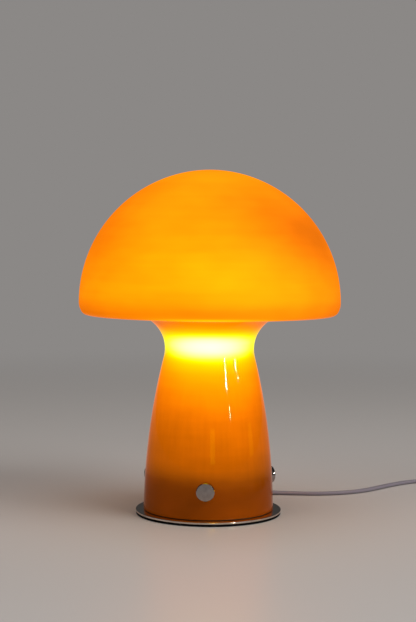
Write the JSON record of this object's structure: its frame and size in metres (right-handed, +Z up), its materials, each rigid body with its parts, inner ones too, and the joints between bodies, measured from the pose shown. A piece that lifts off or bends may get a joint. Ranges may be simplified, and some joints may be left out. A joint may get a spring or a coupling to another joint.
{
  "type": "mushroom table lamp",
  "caption": "Table lamp with a one-piece blown glass cap and stem on a polished round base, an inner bulb and lampholder, thumbscrews, and a flat clear cord with switch and plug.",
  "frame": {"origin": "centre of the round base, where its foam pad meets the table", "axes": "+Z up along the stem's axis, -Y towards the front of the lamp"},
  "size_m": [0.4142, 0.308, 0.2635],
  "materials": {
    "opal_glass": "cased opal glass, amber, glossy",
    "polished_steel": "polished",
    "chrome_screws": "chromed, smooth turned head",
    "foam_pad": "closed cell foam",
    "black_rubber": "moulded",
    "galvanised_pan": "drawn, zinc plated",
    "zinc_fixings": "zinc plated",
    "nylon": "moulded",
    "holder_plastic": "moulded",
    "brass": "turned",
    "bulb_cap_metal": "pressed",
    "bulb_black_glass": "fused glass insulator",
    "bulb_white": "moulded",
    "light_board": "white solder mask on aluminium",
    "light_chip": "phosphor",
    "frosted_globe": "frosted",
    "clear_cord": "clear sheath over tinned wire",
    "clear_tail": "translucent, moulded",
    "lead_sheath": "translucent",
    "switch_plastic": "moulded, translucent grey",
    "rocker_plastic": "moulded",
    "pin_nickel": "nickel plated brass",
    "pin_sleeve": "moulded"
  },
  "bodies": {
    "lamp": {"base_pad": "foam_pad", "base_plate": "polished_steel", "pan_screws": "zinc_fixings", "rim_gasket": "black_rubber", "glass_body": "opal_glass", "inner_pan": "galvanised_pan", "pan_nuts": "zinc_fixings", "riser_tube": "zinc_fixings", "tube_nut_lower": "zinc_fixings", "tube_nut_upper": "zinc_fixings", "lock_washer": "zinc_fixings", "holder_cup": "holder_plastic", "holder_sleeve": "holder_plastic", "holder_insert": "holder_plastic", "screw_shell": "brass", "centre_contact": "brass", "terminal_screws": "brass", "cord_relief": "clear_tail", "cord_inside": "clear_cord", "lead_live": "lead_sheath", "lead_neutral": "lead_sheath", "clamp_block": "holder_plastic", "clamp_saddle": "holder_plastic", "clamp_screws": "zinc_fixings", "cord": "clear_cord", "switch_lower": "switch_plastic", "switch_upper": "switch_plastic", "switch_pivot": "zinc_fixings", "switch_screws": "zinc_fixings", "switch_terminals": "brass", "cord_coil": "clear_cord", "coil_tie": "black_rubber", "cord_to_coil": "clear_cord", "cord_to_plug": "clear_cord", "plug_body": "clear_tail", "plug_pins": "pin_nickel", "pin_sleeves": "pin_sleeve"},
    "washer_front": {"washer_front": "nylon"},
    "thumbscrew_front": {"thumbscrew_front": "chrome_screws"},
    "washer_right": {"washer_right": "nylon"},
    "thumbscrew_right": {"thumbscrew_right": "chrome_screws"},
    "washer_left": {"washer_left": "nylon"},
    "thumbscrew_left": {"thumbscrew_left": "chrome_screws"},
    "bulb_contact": {"bulb_contact": "zinc_fixings"},
    "bulb": {"bulb_insulator": "bulb_black_glass", "bulb_cap": "bulb_cap_metal", "bulb_housing": "bulb_white", "light_board": "light_board", "light_chips": "light_chip", "bulb_globe": "frosted_globe"},
    "switch_rocker": {"switch_rocker": "rocker_plastic"}
  },
  "joints": [
    {"name": "screw_front_travel", "type": "slide", "parent": "lamp", "child": "washer_front", "axis": [-0.0401, -0.9992, 0], "range_m": [0, 0.0096]},
    {"name": "screw_front_turn", "type": "hinge", "parent": "washer_front", "child": "thumbscrew_front", "pos_m": [0, 0, 0.0255], "axis": [-0.0401, -0.9992, 0], "range_deg": [0, 4325]},
    {"name": "screw_right_travel", "type": "slide", "parent": "lamp", "child": "washer_right", "axis": [0.8854, 0.4648, 0], "range_m": [0, 0.0096]},
    {"name": "screw_right_turn", "type": "hinge", "parent": "washer_right", "child": "thumbscrew_right", "pos_m": [0, 0, 0.0255], "axis": [0.8854, 0.4648, 0], "range_deg": [0, 4325]},
    {"name": "screw_left_travel", "type": "slide", "parent": "lamp", "child": "washer_left", "axis": [-0.8453, 0.5344, 0], "range_m": [0, 0.0096]},
    {"name": "screw_left_turn", "type": "hinge", "parent": "washer_left", "child": "thumbscrew_left", "pos_m": [0, 0, 0.0255], "axis": [-0.8453, 0.5344, 0], "range_deg": [0, 4325]},
    {"name": "bulb_travel", "type": "slide", "parent": "lamp", "child": "bulb_contact", "axis": [0, 0, 1], "range_m": [0, 0.00988]},
    {"name": "bulb_turn", "type": "hinge", "parent": "bulb_contact", "child": "bulb", "pos_m": [0, 0, 0.13], "axis": [0, 0, 1], "range_deg": [0, 1265]},
    {"name": "rocker_tilt", "type": "hinge", "parent": "lamp", "child": "switch_rocker", "pos_m": [0.2337, 0.0584, 0.012], "axis": [1, 0, 0], "range_deg": [0, 16]}
  ],
  "couplings": [
    {"joint": "screw_front_turn", "follows": "screw_front_travel", "rad_per_m": 7854},
    {"joint": "screw_right_turn", "follows": "screw_right_travel", "rad_per_m": 7854},
    {"joint": "screw_left_turn", "follows": "screw_left_travel", "rad_per_m": 7854},
    {"joint": "bulb_turn", "follows": "bulb_travel", "rad_per_m": 2226.5}
  ]
}
